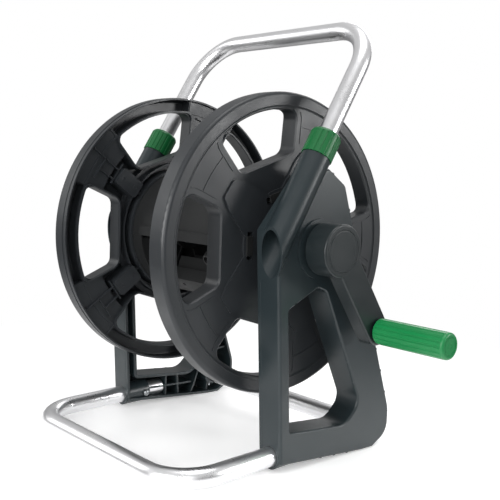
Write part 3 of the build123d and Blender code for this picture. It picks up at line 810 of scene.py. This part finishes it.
SOFTBOXES = (
    Softbox("left_softbox", (-1.7, -1.2, 1.0), (0.9, 1.3), 7.0),
    Softbox("front_softbox", (0.3, -2.1, 0.7), (0.8, 1.0), 32.0),
    Softbox("edge_strip", (1.25, -1.2, 0.5), (0.12, 1.2), 9.0),
    Softbox("overhead_softbox", (0.3, 0.1, 2.2), (1.2, 1.2), 16.0),
    Softbox("right_softbox", (1.4, 1.2, 0.66), (0.5, 0.45), 12.0),
    Softbox("rear_softbox", (-0.8, 1.8, 1.3), (1.0, 1.0), 10.0),
)


@dataclass
class Studio:
    """Plain pale floor, soft light and the camera."""

    axle: Vector
    floor_size: float = 14.0
    floor_glow: float = 0.30
    far_floor: float = 0.22
    room_light: float = 0.66
    azimuth_deg: float = 47.669
    elevation_deg: float = 3.448
    roll_deg: float = 2.519
    lens_mm: float = 58.45608
    sensor_mm: float = 36.0
    shift_x: float = -0.00617
    shift_y: float = -0.06041
    eye_from_axle: tuple[float, float, float] = (0.78498, -0.66498, 0.08317)

    def build_floor(self) -> None:
        """Lay the pale floor, which fades into the white room away from the reel."""
        mesh = bpy.data.meshes.new("studio_floor")
        half = self.floor_size / 2
        corners = [(-half, -half, 0), (half, -half, 0), (half, half, 0), (-half, half, 0)]
        mesh.from_pydata(corners, [], [(0, 1, 2, 3)])
        floor = bpy.data.objects.new("studio_floor", mesh)
        bpy.context.scene.collection.objects.link(floor)
        floor.location.z = -0.0004
        material, tree, output = new_material("white_studio_sweep")
        place = add_node(tree, "TexCoord").outputs["Object"]
        reach = add_node(tree, "VectorMath", {"operation": "LENGTH"}, {"0": place})
        fade = add_node(tree, "MapRange", {"From Min": 0.34, "From Max": 0.8, "To Min": 0.0, "To Max": 1.0},
                        {"Value": reach.outputs["Value"]})
        near = add_node(tree, "BsdfPrincipled", {"Base Color": linear("#f6f6f6"), "Roughness": 0.34,
                                                 "Specular IOR Level": 0.3,
                                                 "Emission Color": linear("#ffffff"),
                                                 "Emission Strength": self.floor_glow})
        camera_ray = add_node(tree, "LightPath").outputs["Is Camera Ray"]
        level = add_node(tree, "MapRange", {"To Min": self.far_floor, "To Max": 1.0}, {"Value": camera_ray})
        far = add_node(tree, "Emission", {"Color": linear("#ffffff")}, {"Strength": level.outputs["Result"]})
        both = add_node(tree, "MixShader", {}, {"0": fade.outputs["Result"], "1": near.outputs["BSDF"],
                                                "2": far.outputs["Emission"]})
        tree.links.new(both.outputs["Shader"], output.inputs["Surface"])
        mesh.materials.append(material)

    def add_softbox(self, box: Softbox) -> None:
        """Add one soft light.

        Args:
            box: Its place, size and power.
        """
        data = bpy.data.lights.new(box.name, "AREA")
        data.shape = "RECTANGLE"
        data.size, data.size_y = box.size
        data.energy = box.power
        light = bpy.data.objects.new(box.name, data)
        bpy.context.scene.collection.objects.link(light)
        light.location = box.place
        direction = self.axle - Vector(box.place)
        light.rotation_euler = direction.to_track_quat("-Z", "Y").to_euler()

    def build_room(self) -> None:
        """Surround the reel with a room that is white to look at and lights it more from above."""
        world = bpy.data.worlds.new("white_room")
        world.use_nodes = True
        tree = world.node_tree
        tree.nodes.clear()
        output = add_node(tree, "OutputWorld")
        height = add_node(tree, "SeparateXYZ", {}, {"0": add_node(tree, "TexCoord").outputs["Generated"]})
        ramp = add_node(tree, "ValToRGB", {}, {"Fac": height.outputs["Z"]})
        stops = ramp.color_ramp.elements
        stops[0].position, stops[0].color = 0.0, (0.34, 0.34, 0.35, 1)
        stops[1].position, stops[1].color = 1.0, (1.0, 1.0, 1.0, 1)
        for place, level in ((0.22, 0.42), (0.5, 0.8)):
            stop = stops.new(place)
            stop.color = (level, level, level, 1)
        seen = add_node(tree, "Background", {"Color": (1, 1, 1, 1), "Strength": 1.0})
        room = add_node(tree, "Background", {"Strength": self.room_light}, {"Color": ramp.outputs["Color"]})
        camera_ray = add_node(tree, "LightPath").outputs["Is Camera Ray"]
        both = add_node(tree, "MixShader", {}, {"0": camera_ray, "1": room.outputs["Background"],
                                                "2": seen.outputs["Background"]})
        tree.links.new(both.outputs["Shader"], output.inputs["Surface"])
        bpy.context.scene.world = world

    def build_lights(self) -> None:
        """Set the soft lights."""
        for box in SOFTBOXES:
            self.add_softbox(box)

    def build_camera(self) -> None:
        """Set the camera and make it the scene's."""
        data = bpy.data.cameras.new("view_camera")
        data.sensor_width = self.sensor_mm
        data.lens = self.lens_mm
        data.shift_x, data.shift_y = self.shift_x, self.shift_y
        data.clip_start, data.clip_end = 0.02, 50.0
        camera = bpy.data.objects.new("view_camera", data)
        bpy.context.scene.collection.objects.link(camera)
        turn = Matrix.Rotation(math.radians(self.azimuth_deg), 4, "Z")
        tilt = Matrix.Rotation(math.radians(90 - self.elevation_deg), 4, "X")
        roll = Matrix.Rotation(math.radians(self.roll_deg), 4, "Z")
        place = Matrix.Translation(self.axle + Vector(self.eye_from_axle))
        camera.matrix_world = place @ turn @ tilt @ roll
        bpy.context.scene.camera = camera


def axle_centre() -> Vector:
    """Middle of the axle, worked out from the flanges' boxes."""
    low_left, high_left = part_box("left_flange")
    low_right, high_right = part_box("right_flange")
    return (low_left + high_left + low_right + high_right) / 4


def main() -> None:
    """Build the looks in order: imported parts, details, studio."""
    logging.basicConfig(level=logging.INFO, format="%(name)s: %(message)s")
    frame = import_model()
    finishes = {slot.value: finish.build() for slot, finish in FINISHES.items()}
    parts = PackedParts(frame["record"], frame["nodes"])
    LOG.info("dressed %d packed parts", parts.dress(finishes))
    axle = axle_centre()
    frames = SideFrames(axle)
    frames.build_ejector_marks(finishes[Slot.FRAME.value])
    frames.build_split_lines(finishes[Slot.FRAME.value])
    flanges = Flanges(axle)
    flanges.build_rim_beads(finishes[Slot.REEL.value])
    flanges.build_inner_walls(finishes[Slot.REEL.value])
    flanges.build_block_marks(finishes[Slot.REEL.value])
    crank = Crank(axle)
    crank.build_cap_lip(finishes[Slot.CRANK.value])
    crank.build_grip_rib(finishes[Slot.GRIP.value])
    fittings = TubeFittings(axle)
    fittings.build_wipers(finishes[Slot.RUBBER.value])
    fittings.build_screw_heads(finishes[Slot.STEEL.value])
    WaterInlet(axle).build_seal(finishes[Slot.RUBBER.value])
    studio = Studio(axle)
    studio.build_floor()
    studio.build_room()
    studio.build_lights()
    studio.build_camera()
    bpy.context.scene.view_settings.view_transform = "Standard"
    LOG.info("studio and camera are set")


if __name__ == "__main__":
    main()
